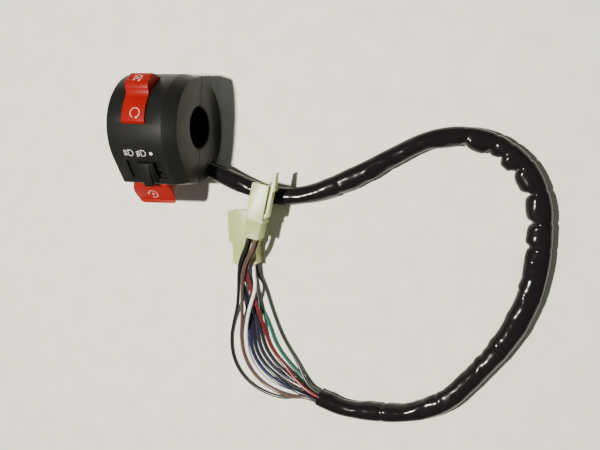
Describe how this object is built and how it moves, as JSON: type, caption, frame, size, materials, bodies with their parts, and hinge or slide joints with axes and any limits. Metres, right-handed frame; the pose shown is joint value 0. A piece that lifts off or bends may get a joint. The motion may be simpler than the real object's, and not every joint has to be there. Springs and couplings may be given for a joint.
{
  "type": "handlebar switch cluster",
  "caption": "Clamp-on handlebar switch cluster with a stop rocker, light slide and starter button, and a sleeved harness ending in two nylon connectors.",
  "frame": {"origin": "on the axis of the handlebar bore, 18.5 mm in from the end face with the cable outlet", "axes": "+X along the bore towards the end face with the cable outlet, +Y up the drum from the starter button to the stop rocker, +Z from the clamp screws to the rider's side"},
  "size_m": [0.2219, 0.1875, 0.0579],
  "materials": {
    "housing_black": "moulded black, satin, light edge wear",
    "red_switch": "moulded red, satin sheen",
    "black_knob": "moulded black, fine texture",
    "contact_base": "pressed laminate, matte",
    "white_carrier": "moulded natural acetal",
    "zinc_steel": "zinc plated",
    "spring_steel": "drawn wire, bright",
    "contact_brass": "stamped, bright",
    "grommet_rubber": "matte rubber",
    "sleeve_vinyl": "soft glossy vinyl tube",
    "natural_nylon": "translucent natural nylon",
    "wire_black": "vinyl insulation",
    "wire_brown": "vinyl insulation",
    "wire_white": "vinyl insulation",
    "wire_blue": "vinyl insulation",
    "wire_navy": "vinyl insulation",
    "wire_violet": "vinyl insulation",
    "wire_striped": "vinyl insulation, black with a white stripe",
    "wire_red": "vinyl insulation",
    "wire_green": "vinyl insulation",
    "wire_grey": "vinyl insulation"
  },
  "bodies": {
    "root": {"front_housing": "housing_black", "rear_housing": "housing_black", "housing_screws": "zinc_steel", "stop_pivot_pin": "zinc_steel", "stop_contact": "contact_brass", "stop_base": "contact_base", "slider_base": "contact_base", "starter_spring": "spring_steel", "starter_contacts": "contact_brass", "starter_base": "contact_base", "base_screws": "zinc_steel", "cable_grommet": "grommet_rubber", "cable_clamp": "zinc_steel", "clamp_screw": "zinc_steel", "inner_leads": "wire_black", "harness_sleeve": "sleeve_vinyl", "wire_black": "wire_black", "wire_brown": "wire_brown", "wire_white": "wire_white", "wire_blue": "wire_blue", "wire_navy": "wire_navy", "wire_violet": "wire_violet", "wire_striped": "wire_striped", "wire_red": "wire_red", "wire_green": "wire_green", "wire_grey": "wire_grey", "six_way_connector": "natural_nylon", "six_way_terminals": "contact_brass", "four_way_connector": "natural_nylon", "four_way_terminals": "contact_brass"},
    "stop_rocker": {"stop_rocker": "red_switch", "stop_plunger": "white_carrier", "stop_spring": "spring_steel"},
    "light_slider": {"light_slider": "black_knob", "slider_carriage": "white_carrier", "slider_bridge": "contact_brass", "slider_ball": "zinc_steel", "slider_spring": "spring_steel"},
    "starter_button": {"starter_button": "red_switch", "starter_bridge": "contact_brass"}
  },
  "joints": [
    {"name": "stop_rocker_tilt", "type": "hinge", "parent": "root", "child": "stop_rocker", "pos_m": [-0.0034, 0.00868, 0.01995], "axis": [-1, 0, 0], "range_deg": [0, 14]},
    {"name": "light_slide", "type": "slide", "parent": "root", "child": "light_slider", "axis": [1, 0, 0], "range_m": [-0.0054, 0.0054]},
    {"name": "starter_press", "type": "slide", "parent": "root", "child": "starter_button", "axis": [0, 1, 0], "range_m": [0, 0.0035], "stiffness_N_per_m": 600, "springref_m": -0.003, "deforming": ["starter_spring"]}
  ]
}
